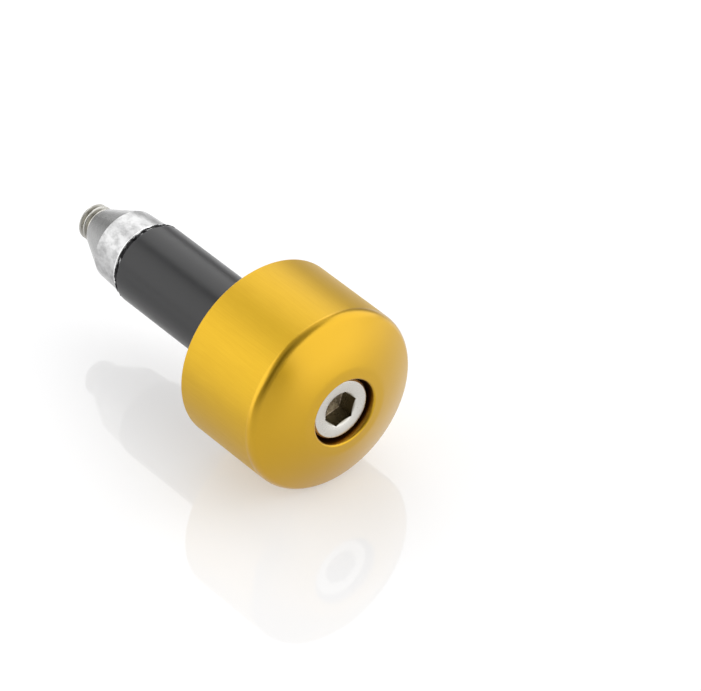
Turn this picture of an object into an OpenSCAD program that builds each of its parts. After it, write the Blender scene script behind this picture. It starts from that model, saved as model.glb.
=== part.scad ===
// Bar end weight with an expanding rubber bush, for the open end of a handlebar.
// A domed weight seats on the bar's end. The screw through it draws the cone nut
// towards the weight, and the rubber bush between them swells until it grips the bar.
// X is the axis of the bar and +X points out of it. The origin is the centre of the
// weight's back face, where the bar ends. Lengths are in millimetres.

/* [Weight] */
// Diameter of the weight
weight_d = 30; // [26:0.5:40]
// Length of the straight side
side_len = 15.75; // [12:0.25:30]
// Height of the domed front above the straight side
dome_h = 5.25; // [4:0.25:7]
// Radius of the round between the side and the dome
edge_r = 1.75; // [0.5:0.25:2.5]
// Bevel around the back face
back_bevel = 0.3; // [0.1:0.1:1]
// Height of the spigot that holds the bush off the back face
spigot_h = 1; // [0.5:0.25:3]
// Bevel around the mouth of the screw's counterbore
mouth_bevel = 0.2; // [0.1:0.05:1]
// Width of the land around the mouth, where the dome is eased
land_w = 1.6; // [0.2:0.2:3]
// Slope of the land, in degrees
land_slope = 6; // [0:1:8]

/* [Screw] */
// Diameter of the screw's shank and thread
screw_d = 6; // [5:0.5:8]
// Diameter of the head
head_d = 10; // [9:0.5:13]
// Height of the head
head_h = 6; // [5:0.5:8]
// Bevel around the top of the head
head_bevel = 0.3; // [0.1:0.1:0.6]
// How far the head lies below the edge of its counterbore
head_sink = 0.8; // [0.2:0.05:2]
// Width across the flats of the hexagonal socket
socket_af = 5.1; // [4:0.05:6]
// Depth of the socket to the foot of its flats
socket_depth = 3; // [2:0.25:3.5]
// How far the countersink at the socket's mouth reaches past its corners
socket_rim = 0.1; // [0.1:0.05:0.4]
// Turn of the socket about the screw's axis, in degrees
socket_turn = 43; // [0:1:59]
// Pitch of the thread, which sets the bevel at the screw's tip
thread_pitch = 1; // [0.5:0.25:1.25]
// Thread that stands out past the nut
thread_stub = 3.1; // [1:0.1:6]

/* [Bush] */
// Outer diameter of the rubber bush
bush_d = 13.4; // [12:0.1:18]
// Length of the bush when it isn't squeezed
bush_len = 26.9; // [18:0.1:40]
// Round at the bush's free end
bush_round = 0.5; // [0.2:0.1:1]

/* [Nut] */
// Diameter of the nut where it meets the bush
nut_d = 12.6; // [11.8:0.1:13]
// Diameter of the nut at the corner between its band and its cone
nut_corner_d = 11.9; // [10:0.1:12.4]
// Length of the nut's band
band_len = 5.5; // [3:0.1:10]
// Length of the nut's cone
cone_len = 5.8; // [3:0.1:12]
// Wall left around the thread at the small end of the cone
nose_wall = 0.25; // [0.2:0.05:0.8]
// Bevel around the end that meets the bush
nut_bevel = 0.2; // [0.1:0.05:0.4]

/* [Clearances] */
// Radial clearance of the shank in the weight
shank_gap = 0.1; // [0.05:0.05:0.4]
// Radial clearance of the head in its counterbore
head_gap = 0.5; // [0.2:0.05:1]
// Radial clearance of the screw in the bush
bush_gap = 0.3; // [0.1:0.05:0.5]
// Radial clearance of the thread's crest in the nut
thread_gap = 0.05; // [0.02:0.01:0.1]

/* [Hidden] */
$fn = 96;

weight_r = weight_d / 2;
bush_r = bush_d / 2;
screw_r = screw_d / 2;
head_r = head_d / 2;
counterbore_r = head_r + head_gap;

// The dome is a ball that runs on smoothly from the round of the front edge
round_x = side_len;
round_y = weight_r - edge_r;
apex_x = side_len + dome_h;
dome_r = (pow(round_y, 2) + pow(dome_h, 2) - pow(edge_r, 2)) / (2 * (dome_h - edge_r));
dome_x = apex_x - dome_r;
// Direction in which the dome and the round touch, from the dome's centre
touch = [round_y, round_x - dome_x] / norm([round_y, round_x - dome_x]);

// Where the land leaves the dome, where the bevelled mouth meets it, and the edge inside the bevel
mouth_r = counterbore_r + mouth_bevel;
land_r = mouth_r + land_w;
land_x = dome_x + sqrt(pow(dome_r, 2) - pow(land_r, 2));
mouth_x = land_x + land_w * tan(land_slope);
mouth_inner_x = mouth_x - mouth_bevel;

// Places along the axis, from the screw's head to its tip
head_top_x = mouth_inner_x - head_sink;
head_seat_x = head_top_x - head_h;
bush_near_x = -spigot_h;
bush_far_x = bush_near_x - bush_len;
nut_corner_x = bush_far_x - band_len;
nut_nose_x = nut_corner_x - cone_len;
screw_tip_x = nut_nose_x - thread_stub;

// The tip is bevelled to just under the root of the thread
thread_depth = 0.6134 * thread_pitch;
tip_r = screw_r - thread_depth - 0.05;

// The socket's corners, the countersink at its mouth and the cone at its floor
socket_corner_r = socket_af / 2 / cos(30);
countersink_r = socket_corner_r + socket_rim;
countersink_depth = (countersink_r - socket_af / 2) / tan(60);
socket_floor_h = 0.7;

// Entry bevel of the nut's thread, and a reach that clears every end of a cut
thread_entry = 0.4;
past = 5;

// Turns a half section about the X axis. In the section, x is the radius and y the place along the axis.
module turned() {
    rotate([0, 90, 0])
    rotate_extrude()
    children();
}

// Part of a half section between two radii and two places along the axis
module ring(inner_r, outer_r, from_x, to_x) {
    translate([inner_r, from_x])
    square([outer_r - inner_r, to_x - from_x]);
}

// What a round takes off the outer corner at the low end of a half section
module low_corner_waste(outer_r, end_x, radius) {
    translate([outer_r - radius, end_x + radius])
    difference() {
        translate([0, -radius - past])
        square([radius + past, radius + past]);
        circle(radius);
    }
}

// Straight side, rounded front edge and dome, before anything is bored
module weight_blank() {
    ring(0, weight_r, 0, side_len);
    translate([round_y, round_x])
    circle(edge_r);
    intersection() {
        translate([0, dome_x])
        circle(dome_r, $fn = 360);
        polygon([
            [0, 0],
            [round_y, 0],
            [round_y, round_x],
            [0, dome_x] + 2 * dome_r * touch,
            [0, apex_x + past]
        ]);
    }
    ring(0, bush_r, -spigot_h, 0);
}

module weight_section() {
    difference() {
        weight_blank();
        // Hole for the shank, and counterbore for the head
        ring(-past, screw_r + shank_gap, -spigot_h - past, apex_x + past);
        ring(-past, counterbore_r, head_seat_x, apex_x + past);
        // Land around the mouth, and the mouth's bevel
        polygon([
            [0, mouth_inner_x],
            [counterbore_r, mouth_inner_x],
            [mouth_r, mouth_x],
            [land_r, land_x],
            [land_r, apex_x + past],
            [0, apex_x + past]
        ]);
        // Bevel around the back face
        polygon([
            [weight_r - back_bevel, 0],
            [weight_r, back_bevel],
            [weight_r + past, back_bevel],
            [weight_r + past, -past],
            [weight_r - back_bevel, -past]
        ]);
    }
}

module weight() {
    color([0.80, 0.60, 0.19])
    turned()
    weight_section();
}

// Head and shank of the screw, with its plain thread diameter
module screw_section() {
    polygon([
        [0, screw_tip_x],
        [tip_r, screw_tip_x],
        [screw_r, screw_tip_x + screw_r - tip_r],
        [screw_r, head_seat_x],
        [head_r, head_seat_x],
        [head_r, head_top_x - head_bevel],
        [head_r - head_bevel, head_top_x],
        [0, head_top_x]
    ]);
}

// Hexagonal hole with a countersunk mouth and a conical floor
module socket_cut() {
    translate([head_top_x - socket_depth, 0, 0])
    rotate([0, 90, 0])
    rotate([0, 0, socket_turn])
    cylinder(r = socket_corner_r, h = socket_depth + past, $fn = 6);
    turned()
    polygon([
        [0, head_top_x - countersink_depth],
        [socket_af / 2, head_top_x - countersink_depth],
        [countersink_r, head_top_x],
        [countersink_r + past * tan(60), head_top_x + past],
        [0, head_top_x + past]
    ]);
    turned()
    polygon([
        [0, head_top_x - socket_depth - socket_floor_h],
        [socket_af / 2, head_top_x - socket_depth],
        [socket_af / 2, head_top_x - socket_depth + countersink_depth],
        [0, head_top_x - socket_depth + countersink_depth]
    ]);
}

module clamp_screw() {
    color([0.75, 0.74, 0.70])
    difference() {
        turned()
        screw_section();
        socket_cut();
    }
}

module rubber_bush() {
    color([0.20, 0.20, 0.21])
    turned()
    difference() {
        ring(screw_r + bush_gap, bush_r, bush_far_x, bush_near_x);
        low_corner_waste(bush_r, bush_far_x, bush_round);
    }
}

module nut_section() {
    bore_r = screw_r + thread_gap;
    polygon([
        [bore_r, nut_nose_x],
        [bore_r + nose_wall, nut_nose_x],
        [nut_corner_d / 2, nut_corner_x],
        [nut_d / 2, bush_far_x - nut_bevel],
        [nut_d / 2 - nut_bevel, bush_far_x],
        [bore_r + thread_entry, bush_far_x],
        [bore_r, bush_far_x - thread_entry]
    ]);
}

module cone_nut() {
    color([0.82, 0.83, 0.84])
    turned()
    nut_section();
}

weight();
clamp_screw();
rubber_bush();
cone_nut();
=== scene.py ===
"""Looks of the bar end weight: gold weight, socket head screw, rubber bush and cone nut.

X is the bar's axis and +X points out of it. The origin is the centre of the weight's back
face. Blender works in metres. The sizes named here are in millimetres, and those of the
solids are the CAD model's own.
"""

import math

import bmesh
import bpy
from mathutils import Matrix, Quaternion, Vector, noise


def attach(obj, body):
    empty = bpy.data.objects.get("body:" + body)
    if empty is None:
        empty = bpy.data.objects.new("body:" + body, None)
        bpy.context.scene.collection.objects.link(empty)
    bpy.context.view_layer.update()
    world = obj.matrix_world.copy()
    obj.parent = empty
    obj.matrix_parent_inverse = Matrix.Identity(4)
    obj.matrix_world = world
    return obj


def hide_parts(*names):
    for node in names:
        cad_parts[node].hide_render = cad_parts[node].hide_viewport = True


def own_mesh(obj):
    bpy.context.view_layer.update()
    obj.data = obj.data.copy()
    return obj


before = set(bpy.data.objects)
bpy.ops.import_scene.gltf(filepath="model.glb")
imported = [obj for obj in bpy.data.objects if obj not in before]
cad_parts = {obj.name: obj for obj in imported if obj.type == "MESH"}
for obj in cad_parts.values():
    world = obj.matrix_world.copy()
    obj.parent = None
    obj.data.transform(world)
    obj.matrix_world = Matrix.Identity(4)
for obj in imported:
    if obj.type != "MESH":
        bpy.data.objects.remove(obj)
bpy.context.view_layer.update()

MM = 0.001

# Sizes of the solids

WEIGHT_R = 15.0
SIDE_LEN = 15.75
EDGE_R = 1.75
DOME_H = 5.25
BACK_BEVEL = 0.3
SPIGOT_H = 1.0
MOUTH_BEVEL = 0.2
LAND_W = 1.6
LAND_SLOPE = 6.0
COUNTERBORE_R = 5.5
SHANK_HOLE_R = 3.1

SCREW_R = 3.0
HEAD_R = 5.0
HEAD_H = 6.0
HEAD_BEVEL = 0.3
HEAD_SINK = 0.8
SOCKET_AF = 5.1
SOCKET_DEPTH = 3.0
SOCKET_FLOOR_H = 0.7
SOCKET_RIM = 0.1
PITCH = 1.0
THREAD_LEN = 24.0
THREAD_STUB = 3.1

BUSH_R = 6.7
BUSH_HOLE_R = 3.3
BUSH_LEN = 26.9
BUSH_ROUND = 0.5

NUT_R = 6.3
NUT_CORNER_R = 5.95
NUT_BAND = 5.5
NUT_CONE = 5.8
NUT_HOLE_R = 3.05
NOSE_WALL = 0.25
NUT_BEVEL = 0.2
NUT_ENTRY = 0.4

# The dome is a ball that touches the round of the front edge, and is cut off by the land

ROUND_R = WEIGHT_R - EDGE_R
DOME_R = (ROUND_R**2 + DOME_H**2 - EDGE_R**2) / (2 * (DOME_H - EDGE_R))
DOME_X = SIDE_LEN + DOME_H - DOME_R
TOUCH_ANGLE = math.atan2(SIDE_LEN - DOME_X, ROUND_R)
MOUTH_R = COUNTERBORE_R + MOUTH_BEVEL
LAND_R = MOUTH_R + LAND_W

# Places along the axis, from the land to the screw's tip

LAND_X = DOME_X + math.sqrt(DOME_R**2 - LAND_R**2)
MOUTH_X = LAND_X + LAND_W * math.tan(math.radians(LAND_SLOPE))
MOUTH_INNER_X = MOUTH_X - MOUTH_BEVEL
HEAD_TOP_X = MOUTH_INNER_X - HEAD_SINK
SOCKET_FOOT_X = HEAD_TOP_X - SOCKET_DEPTH
HEAD_SEAT_X = HEAD_TOP_X - HEAD_H
BUSH_NEAR_X = -SPIGOT_H
BUSH_FAR_X = BUSH_NEAR_X - BUSH_LEN
NUT_CORNER_X = BUSH_FAR_X - NUT_BAND
NUT_NOSE_X = NUT_CORNER_X - NUT_CONE
TIP_X = NUT_NOSE_X - THREAD_STUB
THREAD_START_X = TIP_X + THREAD_LEN


def fade(value, from_value, to_value):
    """0 at one value and 1 at another, even in between and level beyond them."""
    return min(1.0, max(0.0, (value - from_value) / (to_value - from_value)))


def on_ring(x, r, angle):
    """Point in metres, at a place and a radius. The angle runs from +Y towards +Z."""
    return (x * MM, r * math.cos(angle) * MM, r * math.sin(angle) * MM)


# Half sections. A sample is (radius, place along the axis, normal's two parts).


def arc(centre_r, centre_x, radius, start, end, steps):
    """Samples of a convex arc. Angles run from the radius towards +X, in radians."""
    samples = []
    for i in range(steps + 1):
        a = start + (end - start) * i / steps
        across, along = math.cos(a), math.sin(a)
        samples.append((centre_r + radius * across, centre_x + radius * along, across, along))
    return samples


def corner(before, at, after, radius, steps=5):
    """Samples of a small round between two straight stretches of a half section.

    The material lies on the left of the way from before to after.
    """
    before, at, after = Vector(before), Vector(at), Vector(after)
    way_in = (at - before).normalized()
    way_out = (after - at).normalized()
    turn = way_in.x * way_out.y - way_in.y * way_out.x
    angle = math.acos(max(-1.0, min(1.0, way_in.dot(way_out))))
    side = 1 if turn > 0 else -1
    inward = Vector((-way_in.y, way_in.x)) * side
    centre = at - way_in * radius * math.tan(angle / 2) + inward * radius
    samples = []
    for i in range(steps + 1):
        a = side * angle * i / steps
        across = -inward.x * math.cos(a) + inward.y * math.sin(a)
        along = -inward.x * math.sin(a) - inward.y * math.cos(a)
        place = centre + Vector((across, along)) * radius
        samples.append((place.x, place.y, across * side, along * side))
    return samples


def chain(points):
    """Samples along an open chain of points, without those of its two ends.

    A point is its radius and place, and between the ends also its round's radius and steps.
    """
    samples = []
    for before, at, after in zip(points, points[1:], points[2:]):
        samples += corner(before[:2], at[:2], after[:2], *at[2:])
    return samples


def subdivide(samples, longest):
    """Adds samples on the long stretches of a closed half section."""
    result = []
    for a, b in zip(samples, samples[1:] + samples[:1]):
        gap = math.hypot(b[0] - a[0], b[1] - a[1])
        parts = max(1, math.ceil(gap / longest))
        result += [tuple(p + (q - p) * (k / parts) for p, q in zip(a, b)) for k in range(parts)]
    return result


# Meshes


def link_mesh(name, mesh):
    piece = bpy.data.objects.new(name, mesh)
    bpy.context.scene.collection.objects.link(piece)
    return piece


def turned(name, samples, segments, worn=None):
    """Turns a closed half section about the X axis, with the section's own normals.

    A worn surface is moved by worn(radius, place, angle), and gets its normals from its faces.
    """
    places, normals = [], []
    for r, x, nr, nx in samples:
        length = math.hypot(nr, nx)
        for s in range(segments):
            a = 2 * math.pi * s / segments
            at_r, at_x = worn(r, x, a) if worn else (r, x)
            places.append(on_ring(at_x, at_r, a))
            normals.append((nx / length, nr * math.cos(a) / length, nr * math.sin(a) / length))
    faces = []
    for i in range(len(samples)):
        here, beyond = i * segments, (i + 1) % len(samples) * segments
        for s in range(segments):
            t = (s + 1) % segments
            faces.append((here + s, beyond + s, beyond + t, here + t))
    mesh = bpy.data.meshes.new(name)
    mesh.from_pydata(places, [], faces)
    mesh.polygons.foreach_set("use_smooth", [True] * len(faces))
    bm = bmesh.new()
    bm.from_mesh(mesh)
    volume = bm.calc_volume(signed=True)
    bm.free()
    if volume < 0:
        mesh.flip_normals()
    if worn is None:
        mesh.normals_split_custom_set_from_vertices(normals)
    return link_mesh(name, mesh)


def mark(piece, name, value_at):
    """Stores a value on each point of a piece, for its material. Places are in millimetres."""
    values = [value_at(point.co / MM) for point in piece.data.vertices]
    attribute = piece.data.attributes.new(name, "FLOAT", "POINT")
    attribute.data.foreach_set("value", values)


# Weight

# How far outside of the land the dome starts to ease into it
EASE_W = 0.45
EASE_ROUND = 5.0


def weight_samples():
    back = chain(
        [
            (SHANK_HOLE_R, HEAD_SEAT_X),
            (SHANK_HOLE_R, -SPIGOT_H, 0.1),
            (BUSH_R, -SPIGOT_H, 0.08),
            (BUSH_R, 0, 0.08),
            (WEIGHT_R - BACK_BEVEL, 0, 0.08),
            (WEIGHT_R, BACK_BEVEL, 0.12),
            (WEIGHT_R, SIDE_LEN),
        ]
    )
    dome_end = math.acos((LAND_R + EASE_W) / DOME_R)
    edge = arc(ROUND_R, SIDE_LEN, EDGE_R, 0, TOUCH_ANGLE, 20)
    dome = arc(0, DOME_X, DOME_R, TOUCH_ANGLE, dome_end, 28)
    counterbore = chain(
        [
            dome[-1],
            (LAND_R, LAND_X, EASE_ROUND, 8),
            (MOUTH_R, MOUTH_X, 0.28, 8),
            (COUNTERBORE_R, MOUTH_INNER_X, 0.28, 8),
            (COUNTERBORE_R, HEAD_SEAT_X, 0.2),
            (SHANK_HOLE_R, HEAD_SEAT_X, 0.2),
            (SHANK_HOLE_R, -SPIGOT_H),
        ]
    )
    return subdivide(back + edge + dome[1:] + counterbore, 2.5)


weight = turned("weight_turned", weight_samples(), segments=240)


# Screw

SEGMENTS = 96
# Direction of one corner of the socket, from +Y towards +Z, in degrees
SOCKET_CORNER = 13.0
SOCKET_MOUTH_R = SOCKET_AF / 2 / math.cos(math.radians(30)) + SOCKET_RIM
THREAD_DEPTH = 0.6134 * PITCH
THREAD_CREST_R = SCREW_R - 0.02
THREAD_ROOT_R = SCREW_R - THREAD_DEPTH
TIP_R = THREAD_ROOT_R - 0.05
# Half a groove of the thread: place in pitches from the crest's middle, and share of the depth
THREAD_HALF = [
    (0.0, 0.0),
    (0.06, 0.0),
    (0.1, 0.06),
    (0.19, 0.38),
    (0.28, 0.74),
    (0.36, 0.95),
    (0.44, 1.0),
]


def hex_radius(angle):
    """Distance from the axis to the socket's wall in a direction, in radians."""
    off = (math.degrees(angle) - SOCKET_CORNER) % 60 - 30
    return SOCKET_AF / 2 / math.cos(math.radians(off))


def groove_share(u):
    """Share of the thread's depth at a place u, in pitches, from a crest's middle."""
    u = abs((u + 0.5) % 1.0 - 0.5)
    for (u0, s0), (u1, s1) in zip(THREAD_HALF, THREAD_HALF[1:]):
        if u <= u1:
            return s0 + (s1 - s0) * (u - u0) / (u1 - u0)
    return 1.0


def thread_radius(x, angle):
    """Radius of the threaded part. It runs out into the shank, and is bevelled at the tip."""
    u = (x - PITCH * angle / (2 * math.pi)) / PITCH
    run_out = fade(x, THREAD_START_X, THREAD_START_X - 1.5 * PITCH)
    r = THREAD_CREST_R - (THREAD_CREST_R - THREAD_ROOT_R) * groove_share(u) * run_out
    return min(r, TIP_R + x - TIP_X)


def thread_grid(bm, angles):
    """Right-hand thread. Rows of points follow the helix, and are cut off at both ends."""
    half = [u for u, _ in THREAD_HALF]
    steps = sorted([-u for u in half[1:]] + half)
    turns_from = math.floor(TIP_X / PITCH) - 2
    turns_to = math.ceil(THREAD_START_X / PITCH) + 2
    rows = [(n + u) * PITCH for n in range(turns_from, turns_to) for u in steps]
    columns = []
    for a in [*angles, angles[0] + 2 * math.pi]:
        lift = PITCH * a / (2 * math.pi)
        places = [min(max(row + lift, TIP_X), THREAD_START_X) for row in rows]
        columns.append([bm.verts.new(on_ring(x, thread_radius(x, a), a)) for x in places])
    for a, b in zip(columns, columns[1:]):
        for k in range(len(rows) - 1):
            bm.faces.new((a[k], a[k + 1], b[k + 1], b[k]))


def head_samples():
    """Half section from the head's top to where the thread starts."""
    bevel_r, bevel_x = HEAD_R - HEAD_BEVEL, HEAD_TOP_X - HEAD_BEVEL
    head = chain(
        [
            (SCREW_R, THREAD_START_X),
            (SCREW_R, HEAD_SEAT_X, 0.12),
            (HEAD_R, HEAD_SEAT_X, 0.2),
            (HEAD_R, bevel_x, 0.15),
            (bevel_r, HEAD_TOP_X, 0.15),
            (SOCKET_MOUTH_R, HEAD_TOP_X),
        ]
    )
    places = [(r, x) for r, x, _, _ in reversed(head)]
    # Plain shank
    places += [(SCREW_R, x) for x in (6, -2, -10, THREAD_START_X + 0.3)]
    return places + [(THREAD_CREST_R, THREAD_START_X)]


def screw_mesh():
    bm = bmesh.new()
    turn = math.radians(SOCKET_CORNER)
    angles = [turn + 2 * math.pi * i / SEGMENTS for i in range(SEGMENTS)]

    def ring(xs, rs):
        return [bm.verts.new(on_ring(x, r, a)) for x, r, a in zip(xs, rs, angles)]

    def circle(x, r):
        return ring([x] * SEGMENTS, [r] * SEGMENTS)

    def cap(centre_x, rim):
        centre = bm.verts.new((centre_x * MM, 0, 0))
        for i in range(SEGMENTS):
            bm.faces.new((centre, rim[i], rim[(i + 1) % SEGMENTS]))

    # Socket: conical floor, six walls and a countersunk mouth
    hexagon = [hex_radius(a) for a in angles]
    sink_slope = math.tan(math.radians(60))
    rings = [
        circle(SOCKET_FOOT_X, SOCKET_AF / 2 - 0.06),
        ring([SOCKET_FOOT_X] * SEGMENTS, hexagon),
        ring([HEAD_TOP_X - (SOCKET_MOUTH_R - r) / sink_slope for r in hexagon], hexagon),
        circle(HEAD_TOP_X, SOCKET_MOUTH_R),
    ]
    cap(SOCKET_FOOT_X - SOCKET_FLOOR_H, rings[0])
    # Head, shank, thread and tip
    rings += [circle(x, r) for r, x in head_samples()]
    for a, b in zip(rings, rings[1:]):
        for i in range(SEGMENTS):
            k = (i + 1) % SEGMENTS
            bm.faces.new((a[i], b[i], b[k], a[k]))
    thread_grid(bm, angles)
    cap(TIP_X, circle(TIP_X, TIP_R))
    bmesh.ops.remove_doubles(bm, verts=bm.verts, dist=2e-7)
    bmesh.ops.recalc_face_normals(bm, faces=bm.faces)
    mesh = bpy.data.meshes.new("screw_threaded")
    bm.to_mesh(mesh)
    bm.free()
    mesh.polygons.foreach_set("use_smooth", [True] * len(mesh.polygons))
    mesh.set_sharp_from_angle(angle=math.radians(32))
    return mesh


screw = link_mesh("screw_threaded", screw_mesh())
weighted = screw.modifiers.new("weighted", "WEIGHTED_NORMAL")
weighted.keep_sharp = True


# Bush, with a torn edge at its free end, and painted glints on it

TORN_W = 1.0
TORN_DEPTH = 0.24
# Half the width over which the torn edge ends
TORN_BLUR = 0.1
# Radius outside of which the free end is torn
TORN_R = BUSH_R - BUSH_ROUND


def bush_samples():
    free_end = chain(
        [
            (BUSH_HOLE_R, BUSH_NEAR_X),
            (BUSH_HOLE_R, BUSH_FAR_X, 0.15),
            (BUSH_R, BUSH_FAR_X, BUSH_ROUND, 12),
            (BUSH_R, BUSH_NEAR_X),
        ]
    )
    # Closer rows where the edge is torn
    torn = [(BUSH_R, BUSH_FAR_X + BUSH_ROUND + 0.1 * i, 1, 0) for i in range(1, 9)]
    near_end = chain(
        [
            (BUSH_R, BUSH_FAR_X),
            (BUSH_R, BUSH_NEAR_X, 0.08),
            (BUSH_HOLE_R, BUSH_NEAR_X, 0.1),
            (BUSH_HOLE_R, BUSH_FAR_X),
        ]
    )
    return subdivide(free_end + torn + near_end, 1.2)


def torn_at(x):
    """1 on the torn end of the bush, and 0 on the rest of it."""
    return fade(x - BUSH_FAR_X, TORN_W + TORN_BLUR, TORN_W - TORN_BLUR)


def torn_edge(r, x, angle):
    """Moves the outside of the bush's free end inwards by an uneven depth."""
    around = Vector((r * math.cos(angle), r * math.sin(angle), x))
    rough = 0.30 + 0.95 * noise.noise(around * 0.9) + 0.60 * noise.noise(around * 3.1)
    depth = TORN_DEPTH * torn_at(x) * fade(r, TORN_R - 0.2, TORN_R) * fade(rough, 0, 1)
    return r - depth, x + 0.5 * depth * fade(x - BUSH_FAR_X, 0.5, 0.1)


def torn_share(place):
    return torn_at(place.x)


def painted_glint_share(place):
    """1 on a few painted glints, bright flecks of colour on the outside of the torn edge."""
    spot = noise.noise(Vector((place.x * 3.6, place.y * 0.7 + 253.3, place.z * 0.7)))
    outside = fade(math.hypot(place.y, place.z), TORN_R, TORN_R + 0.1)
    return torn_at(place.x) * outside * fade(spot, 0.38, 0.44)


bush = turned("bush_rubber", bush_samples(), segments=480, worn=torn_edge)
mark(bush, "torn", torn_share)
mark(bush, "painted_glint", painted_glint_share)


# Nut


def nut_samples():
    loop = [
        (NUT_HOLE_R, NUT_NOSE_X, 0.05),
        (NUT_HOLE_R + NOSE_WALL, NUT_NOSE_X, 0.08),
        (NUT_CORNER_R, NUT_CORNER_X, 0.15),
        (NUT_R, BUSH_FAR_X - NUT_BEVEL, 0.1),
        (NUT_R - NUT_BEVEL, BUSH_FAR_X, 0.08),
        (NUT_HOLE_R + NUT_ENTRY, BUSH_FAR_X, 0.05),
        (NUT_HOLE_R, BUSH_FAR_X - NUT_ENTRY, 0.05),
    ]
    return subdivide(chain([loop[-1], *loop, loop[0]]), 1.0)


nut = turned("nut_cone", nut_samples(), segments=160)


# Materials


class Nodes:
    """Short calls for building one node material."""

    def __init__(self, name):
        self.material = bpy.data.materials.new(name)
        self.material.use_nodes = True
        self.tree = self.material.node_tree
        self.tree.nodes.clear()
        self.output = self.add("ShaderNodeOutputMaterial")
        self.shader = self.add("ShaderNodeBsdfPrincipled")
        self.link(self.shader.outputs[0], self.output.inputs["Surface"])
        coordinates = self.add("ShaderNodeTexCoord")
        self.place = coordinates.outputs["Object"]
        parts = self.add("ShaderNodeSeparateXYZ")
        self.link(self.place, parts.inputs[0])
        self.x, self.y, self.z = parts.outputs[:3]

    def add(self, kind, **settings):
        node = self.tree.nodes.new(kind)
        for key, value in settings.items():
            setattr(node, key, value)
        return node

    def link(self, source, target):
        self.tree.links.new(source, target)

    def plain(self, **values):
        """Sets values that are the same all over the surface."""
        for key, value in values.items():
            self.shader.inputs[key.replace("_", " ")].default_value = value

    def set(self, name, value):
        """Feeds a node's output to the shader."""
        self.link(value, self.shader.inputs[name])

    def noise(self, scale, detail=2.0, rough=0.5, shift=0.0):
        """Noise with its own scale along X, Y and Z, in features a metre.

        The shift moves it by a number of features, to another part of its pattern.
        """
        mapping = self.add("ShaderNodeMapping")
        mapping.inputs["Scale"].default_value = scale
        mapping.inputs["Location"].default_value = (shift, shift, shift)
        texture = self.add("ShaderNodeTexNoise")
        texture.inputs["Scale"].default_value = 1.0
        texture.inputs["Detail"].default_value = detail
        texture.inputs["Roughness"].default_value = rough
        self.link(self.place, mapping.inputs[0])
        self.link(mapping.outputs[0], texture.inputs["Vector"])
        return texture.outputs[0]

    def attribute(self, name):
        """Value stored on the points of a piece by mark()."""
        return self.add("ShaderNodeAttribute", attribute_name=name).outputs["Fac"]

    def between(self, value, low, high, to_low=0.0, to_high=1.0):
        """Maps a range of a value to another range, and clamps it there."""
        node = self.add("ShaderNodeMapRange")
        for name, number in (
            ("From Min", low),
            ("From Max", high),
            ("To Min", to_low),
            ("To Max", to_high),
        ):
            node.inputs[name].default_value = number
        self.link(value, node.inputs["Value"])
        return node.outputs[0]

    def along(self, from_x, to_x):
        """0 at one place along the axis and 1 at another, in millimetres."""
        return self.between(self.x, from_x * MM, to_x * MM)

    def across(self, from_r, to_r):
        """0 at one distance from the axis and 1 at another, in millimetres."""
        squares = self.math("ADD", self.times(self.y, self.y), self.times(self.z, self.z))
        return self.between(self.math("SQRT", squares, 0.0), from_r * MM, to_r * MM)

    def math(self, operation, a, b):
        """Sum or other operation on a and b. Each is a node's output or a number."""
        node = self.add("ShaderNodeMath", operation=operation)
        for i, value in enumerate((a, b)):
            if isinstance(value, (int, float)):
                node.inputs[i].default_value = value
            else:
                self.link(value, node.inputs[i])
        return node.outputs[0]

    def times(self, a, b):
        return self.math("MULTIPLY", a, b)

    def minus(self, a, b):
        return self.math("SUBTRACT", a, b)

    def mix(self, share, first, second):
        """Mixes two colours. Each is a colour or another node's output."""
        node = self.add("ShaderNodeMix", data_type="RGBA")
        self.link(share, node.inputs[0])
        for index, value in ((6, first), (7, second)):
            if isinstance(value, tuple):
                node.inputs[index].default_value = (*value, 1.0)
            else:
                self.link(value, node.inputs[index])
        return node.outputs[2]

    def bump(self, height, distance, under=None):
        """Relief of a height in metres, on top of the relief under it."""
        node = self.add("ShaderNodeBump")
        node.inputs["Distance"].default_value = distance
        node.inputs["Strength"].default_value = 1.0
        self.link(height, node.inputs["Height"])
        if under is not None:
            self.link(under, node.inputs["Normal"])
        return node.outputs[0]


SIDE_GOLD = (0.60, 0.370, 0.020)
SIDE_GOLD_DEEP = (0.565, 0.342, 0.016)
DOME_GOLD = (0.57, 0.328, 0.003)
# Painted shade: darker gold inside the counterbore
BORE_GOLD_SHADE = (0.40, 0.150, 0.003)

BLACK = (0.004, 0.004, 0.005)
BLACK_WORN = (0.006, 0.006, 0.007)
# Painted glints on the bush's torn edge
PAINTED_GLINT = (0.50, 0.50, 0.50)

BAND = (0.49, 0.49, 0.49)
BAND_PATCH = (0.32, 0.32, 0.32)
# Painted highlight on the band's lip
BAND_LIP_HIGHLIGHT = (0.85, 0.85, 0.85)
CONE = (0.32, 0.32, 0.315)

STEEL = (0.60, 0.585, 0.545)
STEEL_PALE = (0.62, 0.605, 0.565)
# Painted shade on the socket's walls
SOCKET_WALL_SHADE = (0.14, 0.120, 0.070)
# Painted light on the socket's floor, mottled with darker random spots
SOCKET_FLOOR_LIT = (0.88, 0.80, 0.70)
SOCKET_FLOOR_LIT_SPOT = (0.55, 0.47, 0.40)
CREST = (0.50, 0.49, 0.46)
# Painted shade in the thread's grooves
GROOVE_SHADE = (0.36, 0.35, 0.31)


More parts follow.
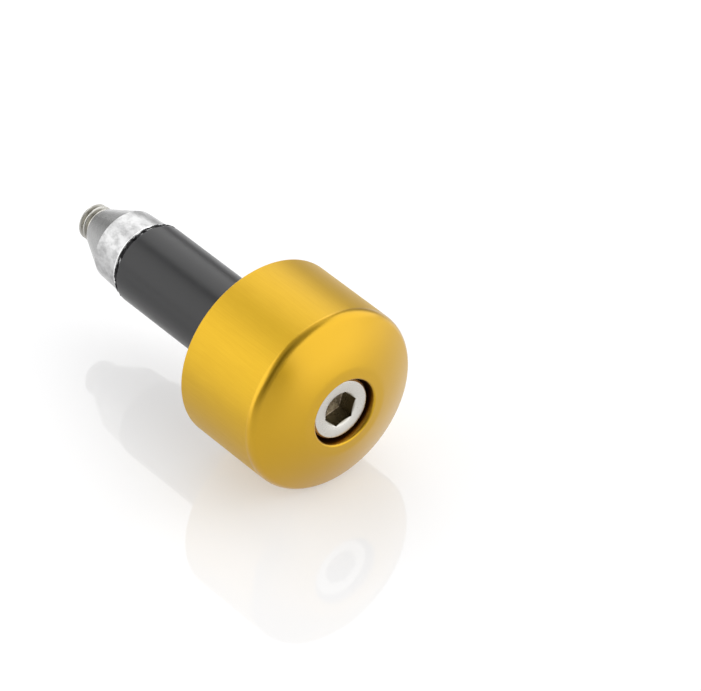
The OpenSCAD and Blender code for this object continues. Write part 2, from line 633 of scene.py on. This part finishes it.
def gold_side():
    """Straight side, brushed along the axis before it was anodised."""
    m = Nodes("gold_brushed")
    m.plain(Metallic=1.0, Coat_Weight=0.15, Coat_Roughness=0.3)
    fine = m.noise((220, 8500, 8500), 2.0, 0.6)
    broad = m.noise((90, 2200, 2200))
    brushed = m.math("ADD", m.times(fine, 0.8), m.times(broad, 0.2))
    m.set("Base Color", m.mix(m.between(brushed, 0.3, 0.7), SIDE_GOLD_DEEP, SIDE_GOLD))
    m.set("Roughness", m.between(fine, 0.25, 0.75, 0.50, 0.46))
    m.set("Normal", m.bump(fine, 0.000006, under=m.bump(broad, 0.000004)))
    return m.material


def gold_dome():
    """Dome, edge, back and bore, finely blasted before they were anodised. The bore's wall and
    seat get painted shade, a darker gold.
    """
    m = Nodes("gold_satin")
    m.plain(Metallic=1.0, Roughness=0.31, Coat_Weight=0.6, Coat_Roughness=0.22)
    # Painted shade on the counterbore's wall and seat
    bore = m.times(
        m.across(COUNTERBORE_R + 0.12, COUNTERBORE_R + 0.02),
        m.along(MOUTH_X - 0.2, MOUTH_X - 1.0),
    )
    m.set("Base Color", m.mix(bore, DOME_GOLD, BORE_GOLD_SHADE))
    m.set("Normal", m.bump(m.noise((5200, 5200, 5200)), 0.000001))
    return m.material


def rubber():
    """Satin black, darker where it is torn, with painted glints there as bright flecks of
    colour.
    """
    m = Nodes("rubber_satin")
    m.plain(Metallic=0.0)
    soft = m.noise((400, 400, 400), 3.0, 0.55)
    edge = m.attribute("torn")
    colour = m.mix(m.between(soft, 0.3, 0.7), BLACK, BLACK_WORN)
    colour = m.mix(edge, colour, BLACK)
    # Painted glints: pale flecks of colour on the torn edge
    m.set("Base Color", m.mix(m.attribute("painted_glint"), colour, PAINTED_GLINT))
    m.set("Roughness", m.minus(m.between(soft, 0.3, 0.7, 0.28, 0.32), m.times(edge, 0.12)))
    m.set("Specular IOR Level", m.minus(0.44, m.times(edge, 0.34)))
    m.set("Normal", m.bump(m.noise((3200, 6500, 6500)), 0.000004))
    return m.material


def raw_aluminium():
    """Bare metal, darker in patches on the band, with a painted highlight on the lip next to
    the bush.
    """
    m = Nodes("aluminium_raw")
    m.plain(Metallic=1.0)
    patch = m.noise((600, 850, 850), 5.0, 0.66, shift=17.1)
    streak = m.noise((350, 4500, 4500), 3.0, 0.6)
    # Darker in patches, placed by the noise
    band = m.mix(m.between(patch, 0.44, 0.66), BAND, BAND_PATCH)
    # Painted highlight: the last quarter millimetre of the band, next to the bush, is near
    # white
    band = m.mix(m.along(BUSH_FAR_X - 0.35, BUSH_FAR_X - 0.25), band, BAND_LIP_HIGHLIGHT)
    cone = m.along(NUT_CORNER_X + 0.1, NUT_CORNER_X - 0.1)
    m.set("Base Color", m.mix(cone, band, CONE))
    m.set("Roughness", m.minus(m.between(patch, 0.3, 0.7, 0.27, 0.37), m.times(cone, 0.10)))
    m.set("Normal", m.bump(streak, 0.000008, under=m.bump(patch, 0.000025)))
    return m.material


def stainless():
    """Satin head, painted shade on the socket's walls, painted light mottled with spots on its
    floor, and painted shade in the thread's grooves.
    """
    m = Nodes("steel_stainless")
    m.plain(Metallic=1.0)
    cloud = m.noise((900, 900, 900), 3.0, 0.6)
    colour = m.mix(m.between(cloud, 0.3, 0.7), STEEL, STEEL_PALE)
    in_head = m.along(HEAD_SEAT_X - 3.2, HEAD_SEAT_X - 2.2)
    inside = m.times(m.across(SOCKET_MOUTH_R + 0.2, SOCKET_MOUTH_R + 0.1), in_head)
    # Painted shade on the socket's walls
    wall = m.times(inside, m.along(HEAD_TOP_X - 0.1, HEAD_TOP_X - 0.3))
    colour = m.mix(wall, colour, SOCKET_WALL_SHADE)
    # Painted light on the socket's floor, mottled with darker random spots
    spots = m.between(m.noise((1700, 1700, 1700), 3.0, 0.6), 0.4, 0.6)
    floor = m.times(inside, m.along(SOCKET_FOOT_X + 0.1, SOCKET_FOOT_X - 0.02))
    colour = m.mix(floor, colour, m.mix(spots, SOCKET_FLOOR_LIT, SOCKET_FLOOR_LIT_SPOT))
    on_thread = m.along(THREAD_START_X, THREAD_START_X - 1)
    colour = m.mix(on_thread, colour, CREST)
    # Painted shade in the thread's grooves
    groove = m.times(on_thread, m.minus(1.0, m.across(THREAD_ROOT_R + 0.1, THREAD_CREST_R)))
    m.set("Base Color", m.mix(groove, colour, GROOVE_SHADE))
    m.set("Roughness", m.between(cloud, 0.3, 0.7, 0.24, 0.34))
    m.set("Normal", m.bump(m.noise((6000, 6000, 6000)), 0.0000025))
    return m.material


def dress(piece, body, node, slot, *materials):
    """Gives a piece its materials, and has it stand for its CAD node."""
    for material in materials:
        piece.data.materials.append(material)
    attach(piece, body)
    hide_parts(node)


dress(weight, "weight_and_bush", "weight", "gold_anodised", gold_side(), gold_dome())
# All of the weight but its straight side is blasted
for face in weight.data.polygons:
    from_axis = math.hypot(face.center.y, face.center.z)
    if face.center.x > SIDE_LEN * MM or from_axis < (WEIGHT_R - 0.5) * MM:
        face.material_index = 1
dress(screw, "screw", "clamp_screw", "stainless", stainless())
dress(bush, "weight_and_bush", "rubber_bush", "rubber", rubber())
dress(nut, "nut", "cone_nut", "bare_aluminium", raw_aluminium())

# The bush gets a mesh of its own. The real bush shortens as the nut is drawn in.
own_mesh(bush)


# Floor

FLOOR_Z = -WEIGHT_R * MM
# Half the floor's width, in metres
FLOOR_HALF = 3.0
# Strength of the floor's glow
FLOOR_LIFT = 0.37
FLOOR_GREY = (0.575, 0.575, 0.58)
FLOOR_PALE = (0.59, 0.59, 0.595)


def floor_material():
    """Smooth pale board. Only the camera and reflections see its glow."""
    m = Nodes("floor_white")
    m.plain(Roughness=0.04, IOR=1.45)
    m.set("Base Color", m.mix(m.noise((3, 3, 3), 1.0, 0.5), FLOOR_GREY, FLOOR_PALE))
    ray = m.add("ShaderNodeLightPath")
    seen = m.math("MAXIMUM", ray.outputs["Is Camera Ray"], ray.outputs["Is Glossy Ray"])
    seen = m.math("MAXIMUM", seen, ray.outputs["Is Transmission Ray"])
    glow = m.add("ShaderNodeEmission")
    m.link(m.times(seen, FLOOR_LIFT), glow.inputs["Strength"])
    both = m.add("ShaderNodeAddShader")
    m.link(m.shader.outputs[0], both.inputs[0])
    m.link(glow.outputs[0], both.inputs[1])
    m.link(both.outputs[0], m.output.inputs["Surface"])
    return m.material


floor_mesh = bpy.data.meshes.new("floor")
h = FLOOR_HALF
floor_mesh.from_pydata(
    [(-h, -h, FLOOR_Z), (h, -h, FLOOR_Z), (h, h, FLOOR_Z), (-h, h, FLOOR_Z)], [], [(0, 1, 2, 3)]
)
floor_mesh.materials.append(floor_material())
link_mesh("floor", floor_mesh)


# Light

# Distance of every lamp from the origin, in metres
LAMP_DISTANCE = 1.0


def direction(azimuth, elevation):
    """Unit vector. Azimuth runs from +X towards +Y, both in degrees."""
    a, e = math.radians(azimuth), math.radians(elevation)
    return Vector((math.cos(a) * math.cos(e), math.sin(a) * math.cos(e), math.sin(e)))


def softbox(name, azimuth, elevation, width, height, level, turn):
    """Evenly bright area lamp that faces the part, and is turned about its own aim.

    Its place, width, height and turn are in degrees as the part sees them, and its level is
    its brightness.
    """
    lamp = bpy.data.lights.new(name, "AREA")
    lamp.shape = "RECTANGLE"
    lamp.size = 2 * LAMP_DISTANCE * math.tan(math.radians(width / 2))
    lamp.size_y = 2 * LAMP_DISTANCE * math.tan(math.radians(height / 2))
    lamp.energy = level * math.pi * lamp.size * lamp.size_y
    holder = bpy.data.objects.new(name, lamp)
    way = direction(azimuth, elevation)
    about_aim = Quaternion((0, 0, 1), math.radians(turn))
    holder.location = way * LAMP_DISTANCE
    holder.rotation_mode = "QUATERNION"
    holder.rotation_quaternion = way.to_track_quat("Z", "Y") @ about_aim
    bpy.context.scene.collection.objects.link(holder)


# Name, azimuth, elevation, width, height, level and turn
for lamp in (
    ("box_left", -131, 24.3, 79, 46, 1.53, -11),
    ("box_back", 153, 32, 41, 46, 1.60, 0),
    ("box_top", 130, 66, 56, 28, 0.56, 0),
    ("box_right", 46, 30.5, 101, 61, 1.28, 5),
):
    softbox(*lamp)

# The room is pale, but dark in a strip beside the camera, which the weight's edge reflects
ROOM = 0.58
DARK = 0.10
DARK_WAYS = (direction(-54, 24), direction(-55, 42), direction(-62, 60))
# How far from a dark way it is dark, and where the room is pale again, in degrees
DARK_INNER = 5
DARK_OUTER = 15


def make_world():
    world = bpy.data.worlds.new("room")
    bpy.context.scene.world = world
    world.use_nodes = True
    tree = world.node_tree
    tree.nodes.clear()
    nodes, link = tree.nodes, tree.links.new
    way = nodes.new("ShaderNodeTexCoord").outputs["Generated"]
    darkest = None
    for dark_way in DARK_WAYS:
        facing = nodes.new("ShaderNodeVectorMath")
        facing.operation = "DOT_PRODUCT"
        facing.inputs[1].default_value = dark_way
        link(way, facing.inputs[0])
        share = nodes.new("ShaderNodeMapRange")
        share.interpolation_type = "SMOOTHSTEP"
        share.inputs["From Min"].default_value = math.cos(math.radians(DARK_OUTER))
        share.inputs["From Max"].default_value = math.cos(math.radians(DARK_INNER))
        link(facing.outputs["Value"], share.inputs["Value"])
        if darkest is None:
            darkest = share.outputs[0]
            continue
        larger = nodes.new("ShaderNodeMath")
        larger.operation = "MAXIMUM"
        link(darkest, larger.inputs[0])
        link(share.outputs[0], larger.inputs[1])
        darkest = larger.outputs[0]
    level = nodes.new("ShaderNodeMapRange")
    level.inputs["To Min"].default_value = ROOM
    level.inputs["To Max"].default_value = DARK
    link(darkest, level.inputs["Value"])
    room = nodes.new("ShaderNodeBackground")
    link(level.outputs[0], room.inputs["Strength"])
    link(room.outputs[0], nodes.new("ShaderNodeOutputWorld").inputs["Surface"])


make_world()


# Camera, at the photograph's viewing angle

camera = bpy.data.objects.new("camera", bpy.data.cameras.new("camera"))
bpy.context.scene.collection.objects.link(camera)
bpy.context.scene.camera = camera
camera.data.sensor_width = 36.0
camera.data.lens = 258.12
camera.data.clip_start = 0.01
camera.data.clip_end = 20.0
camera.location = (0.474917, -0.363136, 0.449579)
camera.rotation_mode = "QUATERNION"
camera.rotation_quaternion = Vector((-0.624028, 0.499721, -0.600723)).to_track_quat("-Z", "Y")

bpy.context.scene.view_settings.view_transform = "Standard"
